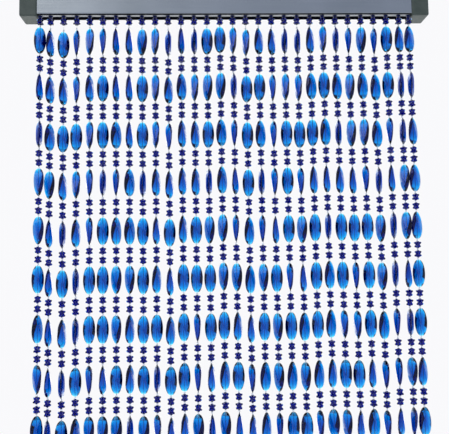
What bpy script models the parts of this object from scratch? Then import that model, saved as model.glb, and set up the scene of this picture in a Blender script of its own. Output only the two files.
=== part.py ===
"""A bead curtain on its rail, as solids at real size.

The pieces are the slotted rail, its two end caps and the comb: the carrier strip that slides in
the rail's slot, with the thirty strings of beads that hang from it as its tines.

+X runs along the rail, the curtain's front faces -Y and +Z is up. The origin is the middle of the
rail's top face. Sizes are in metres.
"""

import math

import bmesh
import bpy
from mathutils import Matrix, Vector

GAP = 0.0003  # between pieces that touch

# The strings and their beads
STRINGS = 30
PITCH = 0.0158  # from string to string
END_PITCH = 0.0125  # from each end's string to the next
ROWS = 17  # of one big bead and a pair of small ones
ROW_STEP = 0.0576
FIRST_ROW_TOP = 0.0020  # from the rail's underside to the top of the first row
TINE_SIDES = 4
PLUG_RADIUS = 0.0022  # of the plug that holds a string in the strip
PLUG_LENGTH = 0.0031  # from the rail's underside to the first small bead
BIG_RADIUS = 0.0068  # how far the beads of each size reach from their string
SMALL_RADIUS = 0.0043
TAIL_LENGTH = 0.0120  # from the middle of the last pair to the knot's end
KNOT_RADIUS = 0.0012

# The rail's section, with y from the middle of its depth
RAIL_DEPTH = 0.0200
RAIL_HEIGHT = 0.0260
RAIL_WALL = 0.0014
RAIL_EDGE = 0.0012  # the radius of its outer edges
SLOT_FRONT = -0.0058
SLOT_BACK = -0.0002
STRING_Y = (SLOT_FRONT + SLOT_BACK) / 2

# The carrier strip
STRIP_FLANGE = 0.0022  # how far its head lies over each lip
STRIP_HEAD = 0.0023  # the head's thickness
PLUG_DEPTH = 0.0010  # from the strip's underside to a string's upper end

# The end caps
CAP_WIDTH = 0.0210
CAP_FRONT = -0.0108
CAP_BACK = 0.0172
CAP_DROP = 0.0026  # how far a cap reaches below the rail
CAP_EDGE = 0.0018
SPIGOT_LENGTH = 0.0080
SPIGOT_DROP = 0.0217  # from the rail's top to the spigot's underside, above the strip

END_STRING_X = (STRINGS - 3) / 2 * PITCH + END_PITCH
RAIL_LENGTH = 2 * (END_STRING_X + 0.0022)


def clear_scene():
    for ob in list(bpy.data.objects):
        bpy.data.objects.remove(ob, do_unlink=True)


def collection(name):
    made = bpy.data.collections.new(name)
    bpy.context.scene.collection.children.link(made)
    return made


def material(name, colour, roughness, metallic=0.0):
    mat = bpy.data.materials.new(name)
    mat.use_nodes = True
    shader = mat.node_tree.nodes["Principled BSDF"]
    shader.inputs["Base Color"].default_value = (*colour, 1)
    shader.inputs["Roughness"].default_value = roughness
    shader.inputs["Metallic"].default_value = metallic
    return mat


def add(name, data, where, mat=None):
    """A new object with its mesh or curve, in a collection."""
    ob = bpy.data.objects.new(name, data)
    if mat:
        data.materials.append(mat)
    where.objects.link(ob)
    return ob


def box_mesh(name, low, high):
    """A box between two corners, from the cube primitive."""
    bm = bmesh.new()
    size = [b - a for a, b in zip(low, high)]
    middle = [(a + b) / 2 for a, b in zip(low, high)]
    bmesh.ops.create_cube(bm, size=1, matrix=Matrix.Translation(middle) @ Matrix.Diagonal((*size, 1)))
    mesh = bpy.data.meshes.new(name)
    bm.to_mesh(mesh)
    bm.free()
    return mesh


def rounded(corner, before, after, radius, steps=4):
    """The arc that rounds a square corner, between the points before and after it."""
    corner, before, after = Vector(corner), Vector(before), Vector(after)
    to_before = (before - corner).normalized()
    to_after = (after - corner).normalized()
    centre = corner + (to_before + to_after) * radius
    points = []
    for i in range(steps + 1):
        turn = math.pi / 2 * i / steps
        points.append(centre - to_after * radius * math.cos(turn) - to_before * radius * math.sin(turn))
    return points


def section(name, outline, length):
    """A flat outline in y and z, drawn out along X about the origin."""
    curve = bpy.data.curves.new(name, "CURVE")
    curve.dimensions = "2D"
    curve.fill_mode = "BOTH"
    curve.extrude = length / 2
    spline = curve.splines.new("POLY")
    spline.points.add(len(outline) - 1)
    for point, (y, z) in zip(spline.points, outline):
        point.co = (y, z, 0, 1)
    spline.use_cyclic_u = True
    return curve


def stand_along_x(ob):
    """Turns a section's own x, y and z to the part's y, z and x."""
    ob.matrix_world = Matrix(((0, 0, 1, 0), (1, 0, 0, 0), (0, 1, 0, 0), (0, 0, 0, 1)))


def rail(parts):
    """A channel with a slot along its underside."""
    half, inside = RAIL_DEPTH / 2, RAIL_DEPTH / 2 - RAIL_WALL
    top_in, foot, foot_in = -RAIL_WALL, -RAIL_HEIGHT, -RAIL_HEIGHT + RAIL_WALL
    outer = [(-half, foot), (-half, 0), (half, 0), (half, foot)]
    ends = [(SLOT_FRONT, foot), *outer, (SLOT_BACK, foot)]
    outline = []
    for before, corner, after in zip(ends, ends[1:], ends[2:]):
        outline += rounded(corner, before, after, RAIL_EDGE)
    outline += [(SLOT_BACK, foot), (SLOT_BACK, foot_in), (inside, foot_in), (inside, top_in)]
    outline += [(-inside, top_in), (-inside, foot_in), (SLOT_FRONT, foot_in), (SLOT_FRONT, foot)]
    mat = material("aluminium", (0.42, 0.43, 0.50), 0.38, 0.9)
    stand_along_x(add("rail", section("rail", outline, RAIL_LENGTH), parts, mat))


def joined_to(ob, name, mesh, tools):
    """Joins a mesh to an object by a Boolean and keeps it among the tools."""
    tool = add(name, mesh, tools)
    tool.hide_render = True
    tool.display_type = "WIRE"
    join = ob.modifiers.new(name, "BOOLEAN")
    join.operation = "UNION"
    join.object = tool
    return tool


def end_cap(name, side, mat, parts, tools):
    """A moulded block over the rail's end, with a spigot in the channel above the strip."""
    inner = RAIL_LENGTH / 2 + GAP
    low = (inner, CAP_FRONT, -RAIL_HEIGHT - CAP_DROP)
    high = (inner + CAP_WIDTH, CAP_BACK, 0)
    cap = add(name, box_mesh(name, low, high), parts, mat)
    bevel = cap.modifiers.new("edges", "BEVEL")
    bevel.width = CAP_EDGE
    bevel.segments = 3

    reach = RAIL_DEPTH / 2 - RAIL_WALL - GAP
    low = (inner - SPIGOT_LENGTH, -reach, -SPIGOT_DROP)
    high = (inner + CAP_WIDTH / 2, reach, -RAIL_WALL - GAP)
    spigot = joined_to(cap, name + "_spigot", box_mesh(name + "_spigot", low, high), tools)
    if side < 0:
        for mesh in (cap.data, spigot.data):
            mesh.transform(Matrix.Scale(-1, 4, (1, 0, 0)))
            mesh.flip_normals()


def string_xs():
    """Where the strings hang along the rail."""
    inner = [(i - (STRINGS - 3) / 2) * PITCH for i in range(STRINGS - 2)]
    return [-END_STRING_X, *inner, END_STRING_X]


def tine_profile():
    """A string's outer form, as radius and height: its plug, then a crest at each big bead and a
    waist at each small pair, down to the knot."""
    top = -RAIL_HEIGHT - FIRST_ROW_TOP
    profile = [(0, -RAIL_HEIGHT + PLUG_DEPTH), (PLUG_RADIUS, -RAIL_HEIGHT + PLUG_DEPTH)]
    profile.append((PLUG_RADIUS, -RAIL_HEIGHT - PLUG_LENGTH))
    profile.append((SMALL_RADIUS, -RAIL_HEIGHT - PLUG_LENGTH - SMALL_RADIUS))
    for row in range(ROWS):
        profile.append((BIG_RADIUS, top - (row + 0.5) * ROW_STEP))
        profile.append((SMALL_RADIUS, top - (row + 1) * ROW_STEP))
    foot = top - ROWS * ROW_STEP - TAIL_LENGTH
    return profile + [(KNOT_RADIUS, foot), (0, foot)]


def tines_mesh():
    """All the strings, each its profile turned about its own line."""
    bm = bmesh.new()
    profile = tine_profile()
    for x in string_xs():
        line = [bm.verts.new((x + radius, STRING_Y, z)) for radius, z in profile]
        edges = [bm.edges.new(pair) for pair in zip(line, line[1:])]
        bmesh.ops.spin(
            bm,
            geom=line + edges,
            cent=(x, STRING_Y, 0),
            axis=(0, 0, 1),
            angle=2 * math.pi,
            steps=TINE_SIDES,
            use_merge=True,
        )
    bmesh.ops.remove_doubles(bm, verts=bm.verts, dist=1e-6)
    bmesh.ops.recalc_face_normals(bm, faces=bm.faces)
    mesh = bpy.data.meshes.new("tines")
    bm.to_mesh(mesh)
    bm.free()
    return mesh


def comb(parts, tools):
    """The carrier strip, with its head over the slot's lips and its strings joined to it."""
    half, foot = RAIL_LENGTH / 2, -RAIL_HEIGHT
    lip = foot + RAIL_WALL + GAP
    low = (-half, SLOT_FRONT - STRIP_FLANGE, lip)
    high = (half, SLOT_BACK + STRIP_FLANGE, lip + STRIP_HEAD)
    mat = material("blue_acrylic", (0.01, 0.05, 0.42), 0.12)
    head = add("bead_comb", box_mesh("bead_comb", low, high), parts, mat)
    low = (-half, SLOT_FRONT + GAP, foot)
    high = (half, SLOT_BACK - GAP, lip + STRIP_HEAD / 2)
    joined_to(head, "stem", box_mesh("stem", low, high), tools)
    joined_to(head, "strings", tines_mesh(), tools)


def main():
    clear_scene()
    parts, tools = collection("bead_curtain"), collection("tools")
    rail(parts)
    plastic = material("grey_plastic", (0.10, 0.12, 0.12), 0.5)
    end_cap("end_cap_left", -1, plastic, parts, tools)
    end_cap("end_cap_right", 1, plastic, parts, tools)
    comb(parts, tools)


main()
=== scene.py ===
import math
import random

import bmesh
import bpy
from mathutils import Matrix, Vector


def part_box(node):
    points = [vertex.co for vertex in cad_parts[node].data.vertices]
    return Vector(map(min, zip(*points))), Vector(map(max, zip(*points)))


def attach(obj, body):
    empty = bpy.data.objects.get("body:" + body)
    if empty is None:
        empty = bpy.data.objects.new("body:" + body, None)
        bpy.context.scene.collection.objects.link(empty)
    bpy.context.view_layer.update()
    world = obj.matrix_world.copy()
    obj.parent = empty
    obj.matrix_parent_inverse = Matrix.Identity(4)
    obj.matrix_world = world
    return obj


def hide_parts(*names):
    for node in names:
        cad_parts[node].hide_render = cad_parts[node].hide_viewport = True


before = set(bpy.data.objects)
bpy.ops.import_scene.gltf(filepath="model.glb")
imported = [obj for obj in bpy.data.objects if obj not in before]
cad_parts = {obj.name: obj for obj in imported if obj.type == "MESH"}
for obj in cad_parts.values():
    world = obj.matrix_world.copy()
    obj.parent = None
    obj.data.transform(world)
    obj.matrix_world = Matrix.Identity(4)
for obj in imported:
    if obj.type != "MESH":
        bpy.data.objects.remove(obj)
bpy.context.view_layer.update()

# The strings, as in the solids that they replace. Metres.
STRINGS = 30
PITCH = 0.0158
END_PITCH = 0.0125
ROWS = 17
ROW_STEP = 0.0576
FIRST_ROW_TOP = 0.0020  # from the rail's underside to the top of the first row
STRING_Y = -0.0030

# The beads, the thread and what holds it at each end
BIG_LENGTH = 0.0330
BIG_WIDTH = 0.0142
BIG_DEPTH = 0.0076
BIG_NECK = 0.0008  # its half depth at each end
BIG_TWIST = math.radians(30)  # from its lower end to its upper
OUTLINE_POINTS = 28
OUTLINE_FULLNESS = 0.9  # below 1 is fuller than an ellipse
RIDGE_POINTS = 8
RIDGE_REACH = 0.85  # how far across its face each ridge gets, as a share of the half width
RIDGE_FULLNESS = 2.4  # above 2 is blunter than an ellipse
RIDGE_FALL = 1.1  # how steeply the ridge falls to the necks
BEVEL_WIDTH = 0.0011
BEVEL_LIFT = 0.38  # the height of the bevel's inner edge, as a share of the half depth
BEVEL_FALL = 0.55  # how much lower it is at the ends
BEVEL_FALL_POWER = 3  # higher keeps the fall nearer the ends
EDGE_THICKNESS = 0.0004
SMALL_HEIGHT = 0.0086
SMALL_RADIUS = 0.0043
PETALS = 6  # in each of a small bead's two rings
SMALL_GAP = 0.0110  # from the middle of one small bead to the next
HOLE_RADIUS = 0.00042
HOLE_SIDES = 8
DRILL_LENGTH = 1.5  # times the bead's
LINE_RADIUS = 0.00033
LINE_SIDES = 6
STOP_RADIUS = 0.0012
STOP_SIDES = 8
PLUG_LENGTH = 0.0031
PLUG_RADIUS = 0.0023
PLUG_SIDES = 12
PLUG_IN = 0.0012  # how far a plug reaches up into the strip
KNOT_DROP = 0.002  # from the lowest small bead to the knot
SHARP_OVER = math.radians(30)  # an edge that bends more than this stays sharp

# The strip that carries the strings, a T in section: its head runs inside the rail, its stem in the slot
HEAD_FRONT, HEAD_BACK = -0.0080, 0.0020
STEM_FRONT, STEM_BACK = -0.0055, -0.0005
HEAD_HEIGHT = 0.0023
HEAD_TOP = 0.0040  # above the rail's underside
STEM_EDGE = 0.0004

# The studio: a tall soft window behind the curtain, and dimmer light from the sides and the front
WINDOW_ACROSS = (math.radians(14), math.radians(40))  # where its light starts to fall off, and ends
WINDOW_UP = (math.radians(29), math.radians(38))  # the same, up and down
WINDOW_LIGHT = (1.75, 1.75, 1.70)
SIDE_LIGHT = (0.60, 0.68, 0.95)
FRONT_LIGHT = (0.34, 0.38, 0.52)
FRONT_TO_SIDE = (-0.8, 0.1)  # the front light gives way to the side light between these Y of a direction
GROUND_SEEN = (0.95, 0.95, 0.97)  # what the camera sees behind it all
FLOOR_DROP = 2.05
FLOOR_RADIUS = 2.4
KEY_WATTS = 7
TOP_WATTS = 30

# The camera, from the same fit as the heights below
CAMERA_PLACE = (-0.029, -0.716, -0.332)
CAMERA_HEADING = math.radians(-1.87)
CAMERA_RISE = math.radians(4.67)
CAMERA_ROLL = math.radians(-0.90)
CAMERA_LENS = 48.1

# The looks
NOISE_RUN = (0.3, 0.7)  # where most of a noise's values lie
LINES_STRETCH = 0.012  # the count along the rail's fine lines, as a share of the count across them
PAINTED_SHADE_DOWN = (-0.75, -0.95)  # painted shade darkens faces that look down: it starts at the first Z of a face's normal, and is full at the second
PATCH_GRAINS = 12  # grains across a patch of moulded plastic
ROUGH_PLAY = 0.08  # either way

RAIL_LOW, RAIL_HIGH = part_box("rail")
UNDERSIDE = RAIL_LOW.z
TOP_BEAD = UNDERSIDE - PLUG_LENGTH - SMALL_HEIGHT / 2
STOP_OFF = (ROW_STEP - SMALL_GAP - SMALL_HEIGHT + BIG_LENGTH) / 4  # from a big bead's middle to its stops

# How high each string's beads hang, from left to right. A separate camera fit, to bead places that were
# read off, worked these heights out, and they are rounded to a unit.
HANG_UNIT = 0.001
HANGS = (
    2, -2, -4, -2, 0, 0, 0, 0, -1, 0, -3, 1, 0, 0, 2, 1, -2, 0, -1, 0, -1, 1, 2, 1, 0, 1, -1, 2, 2, 2,
)
HANG_SHIFT = -1.5  # added to them all

# How each big bead of the upper rows is turned, as the camera sees it. A row is a line, read from
# left to right: W broad side on, N edge on, and, as a bead is twisted, U broad at its upper end and D
# broad at its lower end. The small letters are part way: u from W to U, d from W to D, n from U to N,
# k from D to N. A turn is in degrees: between W and N, each is rounded from a separate fit to the mean
# outline of its letter's beads.
TURNS = {"W": 0, "u": -34, "U": -52, "n": -68, "N": -90, "k": 62, "D": 46, "d": 31}
CHART = (
    "WDWnUnkkuUNkNWWUUDDNNDUNnunWDd",
    "kDDnDWkkWUDdUuuNWWnUUdWduddWNN",
    "NdWWUWdkWUnDDWdnWdnWWWdNuudnND",
    "uuDUnNndNDDDDNdkWNnWnDkDknNkud",
    "ukNDnWddWkWDWuundnkWuWNWWWuNud",
    "WkWNWWuuWDkWWWuuduWnkWdWnWuNkW",
    "dkDNWWuDWWDWnWWDkWuWdWdUUWdnNW",
    "UkNWnkWDWNWWnkdWndududDWWknnuD",
)
TURN_PLAY = 5  # degrees either way
BESIDE_ENDS = (1, STRINGS - 2)  # close to the end strings, so nearly edge on in the rows below the chart
EDGE_ON_PLAY = 0.25  # radians either way


def string_xs():
    inner = [(i - (STRINGS - 3) / 2) * PITCH for i in range(STRINGS - 2)]
    end = inner[-1] + END_PITCH
    return [-end, *inner, end]


# ---------------------------------------------------------------- meshes

class Parts:
    """Points and faces of many small pieces, gathered for one mesh."""

    def __init__(self):
        self.points = []
        self.faces = []
        self.kinds = []

    def add(self, shape, x, z, turn=0.0, kind=0):
        """A copy of a shape, turned about the vertical and set on its string. Its kind is the place of
        its material in the mesh's list."""
        points, faces = shape
        first = len(self.points)
        c, s = math.cos(turn), math.sin(turn)
        self.points += [(x + c * px - s * py, STRING_Y + s * px + c * py, z + pz) for px, py, pz in points]
        self.faces += [tuple(first + i for i in face) for face in faces]
        self.kinds += [kind] * len(faces)

    def build(self, name, mats, sharp_over=None):
        mesh = bpy.data.meshes.new(name)
        mesh.from_pydata(self.points, [], self.faces)
        mesh.polygons.foreach_set("material_index", self.kinds)
        outwards = bmesh.new()
        outwards.from_mesh(mesh)
        bmesh.ops.recalc_face_normals(outwards, faces=outwards.faces)
        outwards.to_mesh(mesh)
        outwards.free()
        mesh.shade_smooth()
        if sharp_over is not None:
            mesh.set_sharp_from_angle(angle=sharp_over)
        for mat in mats:
            mesh.materials.append(mat)
        ob = bpy.data.objects.new(name, mesh)
        bpy.context.scene.collection.objects.link(ob)
        return ob


def lofted(rings, closed=False):
    """A skin through rings of as many points each, from the top down. Closed joins the last ring to
    the first, and otherwise each end is a flat cap."""
    count = len(rings[0])
    points = [p for ring in rings for p in ring]
    faces = []
    last = len(rings) if closed else len(rings) - 1
    for r in range(last):
        a, b = r * count, (r + 1) % len(rings) * count
        for i in range(count):
            j = (i + 1) % count
            faces.append((a + i, b + i, b + j, a + j))
    if not closed:
        faces.append(tuple(range(count)))
        faces.append(tuple(reversed(range((len(rings) - 1) * count, len(rings) * count))))
    return points, faces


def circle(radius, z, count):
    turns = [2 * math.pi * i / count for i in range(count)]
    return [(radius * math.cos(t), radius * math.sin(t), z) for t in turns]


def big_bead():
    """A flat oval with a bevel all round, a little twisted. The ridge of each broad face crosses it from
    corner to corner, so that the two ridges, one seen through the other, make a cross."""
    half_length, half_width, half_depth = BIG_LENGTH / 2, BIG_WIDTH / 2, BIG_DEPTH / 2
    outline = []
    for i in range(OUTLINE_POINTS):
        t = 2 * math.pi * (i + 0.5) / OUTLINE_POINTS
        x = math.copysign(abs(math.cos(t)) ** OUTLINE_FULLNESS, math.cos(t)) * half_width
        outline.append((x, math.sin(t) * half_length))
    points = []
    for x, z in outline:
        lift = half_depth * BEVEL_LIFT * (1 - BEVEL_FALL * abs(z / half_length) ** BEVEL_FALL_POWER)
        inset = 1 - BEVEL_WIDTH / math.hypot(x, z)
        points += [(x, side * EDGE_THICKNESS / 2, z) for side in (-1, 1)]
        points += [(x * inset, side * lift, z * inset) for side in (-1, 1)]
    for r in range(1, RIDGE_POINTS):
        height = 1 - 2 * r / RIDGE_POINTS  # 1 at the upper end, -1 at the lower
        swell = 1 - abs(height) ** RIDGE_FULLNESS
        depth = BIG_NECK + (half_depth - BIG_NECK) * swell ** RIDGE_FALL
        reach = RIDGE_REACH * height * half_width * swell ** 0.5
        points += [(-reach, -depth, height * half_length), (reach, depth, height * half_length)]
    hull = bmesh.new()
    for x, y, z in points:
        turn = BIG_TWIST * z / BIG_LENGTH
        c, s = math.cos(turn), math.sin(turn)
        hull.verts.new((c * x - s * y, s * x + c * y, z))
    bmesh.ops.convex_hull(hull, input=hull.verts)
    bmesh.ops.delete(hull, geom=[v for v in hull.verts if not v.link_faces], context="VERTS")
    return drilled(hull, BIG_LENGTH)


def drilled(shape, height):
    """The points and faces of a closed shape with the hole for its thread through it."""
    mesh = bpy.data.meshes.new("blank")
    shape.to_mesh(mesh)
    shape.free()
    blank = bpy.data.objects.new("blank", mesh)
    bpy.context.scene.collection.objects.link(blank)
    bpy.ops.mesh.primitive_cylinder_add(
        vertices=HOLE_SIDES, radius=HOLE_RADIUS, depth=height * DRILL_LENGTH,
    )
    drill = bpy.context.object
    cut = blank.modifiers.new("hole", "BOOLEAN")
    cut.operation = "DIFFERENCE"
    cut.object = drill
    done = blank.evaluated_get(bpy.context.evaluated_depsgraph_get()).to_mesh()
    points = [tuple(v.co) for v in done.vertices]
    faces = [tuple(f.vertices) for f in done.polygons]
    for ob in (blank, drill):
        bpy.data.objects.remove(ob)
    return points, faces


def small_bead():
    """A spool with a ring of blunt petals above and another below, half a petal round."""
    levels = (  # height and the reach of petal and valley, as shares of the bead's
        (1.00, 0.26, 0.26),
        (0.80, 0.50, 0.38),
        (0.74, 0.94, 0.48),
        (0.40, 1.00, 0.56),
        (0.12, 0.70, 0.60),
    )
    rings = []
    for side in (1, -1):
        for height, petal, valley in levels[::side]:
            ring = []
            for i in range(PETALS * 2):
                reach = (petal if (i % 2 == 0) == (side > 0) else valley) * SMALL_RADIUS
                t = math.pi * i / PETALS
                ring.append((reach * math.cos(t), reach * math.sin(t), side * height * SMALL_HEIGHT / 2))
            rings.append(ring)
    for z in (-SMALL_HEIGHT / 2, SMALL_HEIGHT / 2):
        rings.append(circle(HOLE_RADIUS, z, PETALS * 2))
    return lofted(rings, closed=True)


def stop():
    """The small clear stop between two beads."""
    rings = []
    for height, reach in ((1.0, 0.45), (0.7, 0.85), (0.0, 1.0), (-0.7, 0.85), (-1.0, 0.45)):
        rings.append(circle(reach * STOP_RADIUS, height * STOP_RADIUS, STOP_SIDES))
    return lofted(rings)


def plug():
    """The turned end that pins a string into the strip, with a collar under the strip and a foot on the
    first small bead."""
    profile = (  # height, and reach as a share of the plug's
        (PLUG_IN, 0.70), (0.0, 0.78), (-0.0004, 1.18), (-0.0012, 1.22),
        (-0.0018, 0.82), (-0.0026, 0.72), (-0.0030, 0.95),
    )
    return lofted([circle(reach * PLUG_RADIUS, height, PLUG_SIDES) for height, reach in profile])


def strip():
    """The strip's T section, drawn out along the rail. Like all shapes here, it has Y 0 at the strings."""
    top = UNDERSIDE + HEAD_TOP
    shoulder = top - HEAD_HEIGHT
    section = [
        (HEAD_FRONT, top), (HEAD_BACK, top), (HEAD_BACK, shoulder), (STEM_BACK, shoulder),
        (STEM_BACK, UNDERSIDE + STEM_EDGE), (STEM_BACK - STEM_EDGE, UNDERSIDE),
        (STEM_FRONT + STEM_EDGE, UNDERSIDE), (STEM_FRONT, UNDERSIDE + STEM_EDGE),
        (STEM_FRONT, shoulder), (HEAD_FRONT, shoulder),
    ]
    lengths = 2 * STRINGS
    rings = []
    for i in range(lengths + 1):
        x = RAIL_LOW.x + (RAIL_HIGH.x - RAIL_LOW.x) * i / lengths
        rings.append([(x, y - STRING_Y, z) for y, z in section])
    return lofted(rings)


# ---------------------------------------------------------------- materials

def new_material(name):
    mat = bpy.data.materials.new(name)
    mat.use_nodes = True
    return mat, mat.node_tree.nodes, mat.node_tree.links, mat.node_tree.nodes["Principled BSDF"]


def noise(nodes, links, scale, stretch=(1, 1, 1), detail=3.0):
    """A grain in the object's own coordinates, which are metres: scale is its count in a metre."""
    coords = nodes.new("ShaderNodeTexCoord")
    mapping = nodes.new("ShaderNodeMapping")
    mapping.inputs["Scale"].default_value = stretch
    links.new(coords.outputs["Object"], mapping.inputs["Vector"])
    grain = nodes.new("ShaderNodeTexNoise")
    grain.inputs["Scale"].default_value = scale
    grain.inputs["Detail"].default_value = detail
    links.new(mapping.outputs["Vector"], grain.inputs["Vector"])
    return grain.outputs["Fac"]


def mapped(nodes, links, value, run, low, high, smooth=False):
    """A value's run mapped to go from low to high, and held there beyond its ends."""
    place = nodes.new("ShaderNodeMapRange")
    if smooth:
        place.interpolation_type = "SMOOTHSTEP"
    place.inputs["From Min"].default_value = run[0]
    place.inputs["From Max"].default_value = run[1]
    place.inputs["To Min"].default_value = low
    place.inputs["To Max"].default_value = high
    links.new(value, place.inputs["Value"])
    return place.outputs["Result"]


def spread(nodes, links, value, low, high):
    """A noise mapped to run from low to high."""
    return mapped(nodes, links, value, NOISE_RUN, low, high)


def mixed(nodes, links, factor, low, high):
    """A mix of two colours, each of them fixed or the output of a node."""
    mix = nodes.new("ShaderNodeMix")
    mix.data_type = "RGBA"
    links.new(factor, mix.inputs["Factor"])
    for colour, socket in ((low, mix.inputs["A"]), (high, mix.inputs["B"])):
        if isinstance(colour, tuple):
            socket.default_value = (*colour, 1)
        else:
            links.new(colour, socket)
    return mix.outputs["Result"]


def bump(nodes, links, shader, height, depth):
    node = nodes.new("ShaderNodeBump")
    node.inputs["Strength"].default_value = 1
    node.inputs["Distance"].default_value = depth
    links.new(height, node.inputs["Height"])
    links.new(node.outputs["Normal"], shader.inputs["Normal"])


def blue_acrylic(name, passes, density):
    """Clear acrylic dyed through. The longer the light's way in it, the less of it gets through, of blue the
    most and of red the least. Its skin has the faint waves and dull spots of moulding."""
    mat, nodes, links, shader = new_material(name)
    shade = spread(nodes, links, noise(nodes, links, 45, detail=1), 0, 1)
    links.new(mixed(nodes, links, shade, (0.78, 0.88, 1.0), (0.96, 0.98, 1.0)), shader.inputs["Base Color"])
    dull = spread(nodes, links, noise(nodes, links, 260), 0.02, 0.09)
    links.new(dull, shader.inputs["Roughness"])
    bump(nodes, links, shader, noise(nodes, links, 180, detail=1), 0.00005)
    shader.inputs["Transmission Weight"].default_value = 1
    shader.inputs["IOR"].default_value = 1.49
    volume = nodes.new("ShaderNodeVolumeAbsorption")
    volume.inputs["Color"].default_value = (*passes, 1)
    volume.inputs["Density"].default_value = density
    links.new(volume.outputs["Volume"], nodes["Material Output"].inputs["Volume"])
    return mat


def clear_nylon():
    mat, nodes, links, shader = new_material("clear_nylon_look")
    shade = spread(nodes, links, noise(nodes, links, 300), 0, 1)
    links.new(mixed(nodes, links, shade, (0.82, 0.86, 0.90), (0.97, 0.98, 0.99)), shader.inputs["Base Color"])
    links.new(spread(nodes, links, noise(nodes, links, 900), 0.25, 0.45), shader.inputs["Roughness"])
    shader.inputs["Transmission Weight"].default_value = 0.85
    shader.inputs["IOR"].default_value = 1.4
    return mat


def satin_aluminium():
    """Drawn aluminium with a satin skin: fine lines along the rail. Faces that look down get painted shade:
    near black, and not metallic.
    """
    mat, nodes, links, shader = new_material("satin_aluminium_and_painted_shade_look")
    lines = noise(nodes, links, 900, stretch=(LINES_STRETCH, 1, 1), detail=5)
    cloud = spread(nodes, links, noise(nodes, links, 14, detail=2), 0, 1)
    metal = mixed(nodes, links, cloud, (0.40, 0.43, 0.42), (0.48, 0.51, 0.50))
    split = nodes.new("ShaderNodeSeparateXYZ")
    links.new(nodes.new("ShaderNodeNewGeometry").outputs["Normal"], split.inputs[0])
    # Painted shade: faces that look down are mixed to near black and lose their metal.
    down = mapped(nodes, links, split.outputs["Z"], PAINTED_SHADE_DOWN, 0, 1)
    links.new(mixed(nodes, links, down, metal, (0.004, 0.004, 0.006)), shader.inputs["Base Color"])
    links.new(mapped(nodes, links, down, (0, 1), 0.92, 0), shader.inputs["Metallic"])
    links.new(spread(nodes, links, lines, 0.30, 0.46), shader.inputs["Roughness"])
    shader.inputs["Specular IOR Level"].default_value = 0
    bump(nodes, links, shader, lines, 0.00004)
    return mat


def moulded(name, dark, light, grain, rough, depth):
    """Moulded plastic with a fine grained skin: the grain is its count in a metre, and its depth is in
    metres."""
    mat, nodes, links, shader = new_material(name)
    spots = noise(nodes, links, grain)
    patches = spread(nodes, links, noise(nodes, links, grain / PATCH_GRAINS, detail=2), 0, 1)
    links.new(mixed(nodes, links, patches, dark, light), shader.inputs["Base Color"])
    links.new(spread(nodes, links, spots, rough - ROUGH_PLAY, rough + ROUGH_PLAY), shader.inputs["Roughness"])
    bump(nodes, links, shader, spots, depth)
    return mat


# ---------------------------------------------------------------- the curtain

def towards_camera(x):
    """The turn about the vertical that shows the camera the broad side of a bead on the string at x."""
    return math.atan2(CAMERA_PLACE[0] - x, STRING_Y - CAMERA_PLACE[1])


def of_the_comb(ob):
    """Declares a piece that stands in for a part of the comb of strings."""
    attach(ob, "root")
    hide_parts("bead_comb")
    return ob


def hang_thread(name, x, foot, nylon):
    """A string's thread, from its plug at the rail to the knot under its lowest bead."""
    tube = Parts()
    tube.add(lofted([circle(LINE_RADIUS, z, LINE_SIDES) for z in (UNDERSIDE, foot)]), x, 0)
    ob = of_the_comb(tube.build(name, [nylon]))


def strings():
    """The strings of beads. In a string's mesh of beads, material 0 is the big beads' and 1 the small."""
    acrylics = (
        blue_acrylic("big_bead_look", (0.0, 0.735, 0.898), 1500),
        blue_acrylic("small_bead_look", (0.0, 0.50, 0.87), 3000),
    )
    nylon = clear_nylon()
    big, small, clear = big_bead(), small_bead(), stop()
    chance = random.Random(7)
    for i, x in enumerate(string_xs()):
        beads, fittings = Parts(), Parts()
        offset = (HANGS[i] + HANG_SHIFT) * HANG_UNIT
        beads.add(small, x, TOP_BEAD, chance.uniform(0, math.pi), 1)
        for row in range(ROWS):
            middle = UNDERSIDE - FIRST_ROW_TOP - (row + 0.5) * ROW_STEP + offset
            if row < len(CHART):
                charted = TURNS[CHART[row][i]] + chance.uniform(-TURN_PLAY, TURN_PLAY)
                turn = math.radians(charted) + towards_camera(x)
            elif i in BESIDE_ENDS:
                turn = math.pi / 2 + chance.uniform(-EDGE_ON_PLAY, EDGE_ON_PLAY)
            else:
                turn = chance.uniform(0, math.pi)
            beads.add(big, x, middle, turn)
            pair = middle - ROW_STEP / 2
            beads.add(small, x, pair + SMALL_GAP / 2, chance.uniform(0, math.pi), 1)
            beads.add(small, x, pair - SMALL_GAP / 2, chance.uniform(0, math.pi), 1)
            for z in (middle + STOP_OFF, middle - STOP_OFF, pair):
                fittings.add(clear, x, z)
        foot = pair - SMALL_GAP / 2 - SMALL_HEIGHT / 2 - KNOT_DROP
        fittings.add(clear, x, foot)
        name = f"string_{i + 1:02d}"
        on_it = [
            of_the_comb(beads.build(name + "_beads", acrylics, SHARP_OVER)),
            of_the_comb(fittings.build(name + "_stops", [nylon])),
        ]
        hang_thread(name + "_thread", x, foot, nylon)


def carrier():
    """The strip with the plugs of all its strings, material 0 and 1 of its mesh."""
    parts = Parts()
    parts.add(strip(), 0, 0)
    for x in string_xs():
        parts.add(plug(), x, UNDERSIDE, 0, 1)
    looks = [
        moulded("strip_look", (0.50, 0.50, 0.45), (0.62, 0.62, 0.56), 700, 0.45, 0.00003),
        moulded("plug_look", (0.004, 0.010, 0.075), (0.006, 0.016, 0.110), 900, 0.3, 0.00002),
    ]
    of_the_comb(parts.build("carrier_strip", looks, SHARP_OVER))


def rail_looks():
    """Better looks for the solids that show: the rail and its caps."""
    cap = moulded("cap_look", (0.070, 0.090, 0.062), (0.098, 0.118, 0.084), 1100, 0.5, 0.00005)
    looks = {"rail": satin_aluminium(), "end_cap_left": cap, "end_cap_right": cap}
    for name, look in looks.items():
        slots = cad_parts[name].data.materials
        slots.clear()
        slots.append(look)


# ---------------------------------------------------------------- the studio

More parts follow.
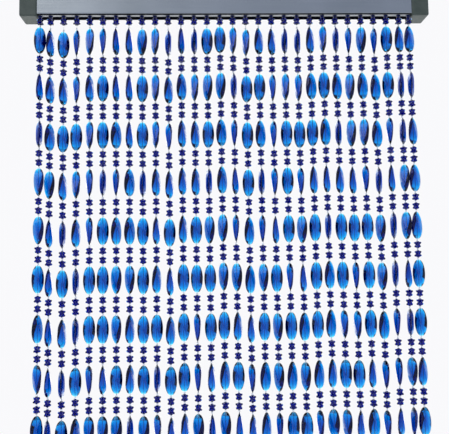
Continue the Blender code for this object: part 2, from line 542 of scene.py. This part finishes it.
def arithmetic(nodes, links, operation, *values):
    """A sum on one or two outputs: a second one that is left out is 0."""
    node = nodes.new("ShaderNodeMath")
    node.operation = operation
    node.inputs[1].default_value = 0
    for value, socket in zip(values, node.inputs):
        links.new(value, socket)
    return node.outputs[0]


def window_edge(nodes, links, way, reach):
    """1 in front of the window, falling to 0 at its soft edge on either side."""
    off = arithmetic(nodes, links, "ABSOLUTE", way)
    return mapped(nodes, links, off, [math.sin(angle) for angle in reach], 1, 0, smooth=True)


def studio():
    """The world's light by its direction, for all but the camera's own rays, and a pale floor."""
    world = bpy.data.worlds.new("studio")
    bpy.context.scene.world = world
    world.use_nodes = True
    nodes, links = world.node_tree.nodes, world.node_tree.links
    coords = nodes.new("ShaderNodeTexCoord")
    way = nodes.new("ShaderNodeSeparateXYZ")
    links.new(coords.outputs["Generated"], way.inputs[0])
    across = window_edge(nodes, links, way.outputs["X"], WINDOW_ACROSS)
    up = window_edge(nodes, links, way.outputs["Z"], WINDOW_UP)
    behind = arithmetic(nodes, links, "GREATER_THAN", way.outputs["Y"])
    window = arithmetic(nodes, links, "MULTIPLY", arithmetic(nodes, links, "MULTIPLY", across, up), behind)
    beside = mapped(nodes, links, way.outputs["Y"], FRONT_TO_SIDE, 0, 1)
    room = mixed(nodes, links, beside, FRONT_LIGHT, SIDE_LIGHT)
    lit = mixed(nodes, links, window, room, WINDOW_LIGHT)
    rays = nodes.new("ShaderNodeLightPath")
    seen = mixed(nodes, links, rays.outputs["Is Camera Ray"], lit, GROUND_SEEN)
    links.new(seen, nodes["Background"].inputs["Color"])

    bpy.ops.mesh.primitive_circle_add(
        radius=FLOOR_RADIUS, vertices=96, fill_type="NGON", location=(0, 0, -FLOOR_DROP),
    )
    floor = bpy.context.object
    floor.name = "floor"
    look = moulded("floor_look", (0.86, 0.84, 0.78), (0.90, 0.88, 0.83), 30, 0.7, 0.0002)
    floor.data.materials.append(look)


def area(name, place, aim, side, watts):
    """A square soft light."""
    light = bpy.data.lights.new(name, "AREA")
    light.shape = "SQUARE"
    light.size = side
    light.energy = watts
    ob = bpy.data.objects.new(name, light)
    bpy.context.scene.collection.objects.link(ob)
    ob.location = place
    ob.rotation_euler = (Vector(aim) - Vector(place)).to_track_quat("-Z", "Y").to_euler()


def lights():
    area("key", (-1.2, -1.6, 0.9), (0, 0, -0.3), 1.4, KEY_WATTS)
    area("top", (0, 0.3, 2.0), (0, 0, -0.5), 2.5, TOP_WATTS)


def camera():
    data = bpy.data.cameras.new("camera")
    data.sensor_width = 36
    data.lens = CAMERA_LENS
    ob = bpy.data.objects.new("camera", data)
    bpy.context.scene.collection.objects.link(ob)
    ob.matrix_world = (
        Matrix.Translation(CAMERA_PLACE)
        @ Matrix.Rotation(CAMERA_HEADING, 4, "Z")
        @ Matrix.Rotation(math.radians(90) + CAMERA_RISE, 4, "X")
        @ Matrix.Rotation(CAMERA_ROLL, 4, "Z")
    )
    bpy.context.scene.camera = ob


camera()
studio()
lights()
rail_looks()
carrier()
strings()
bpy.context.scene.view_settings.view_transform = "Standard"
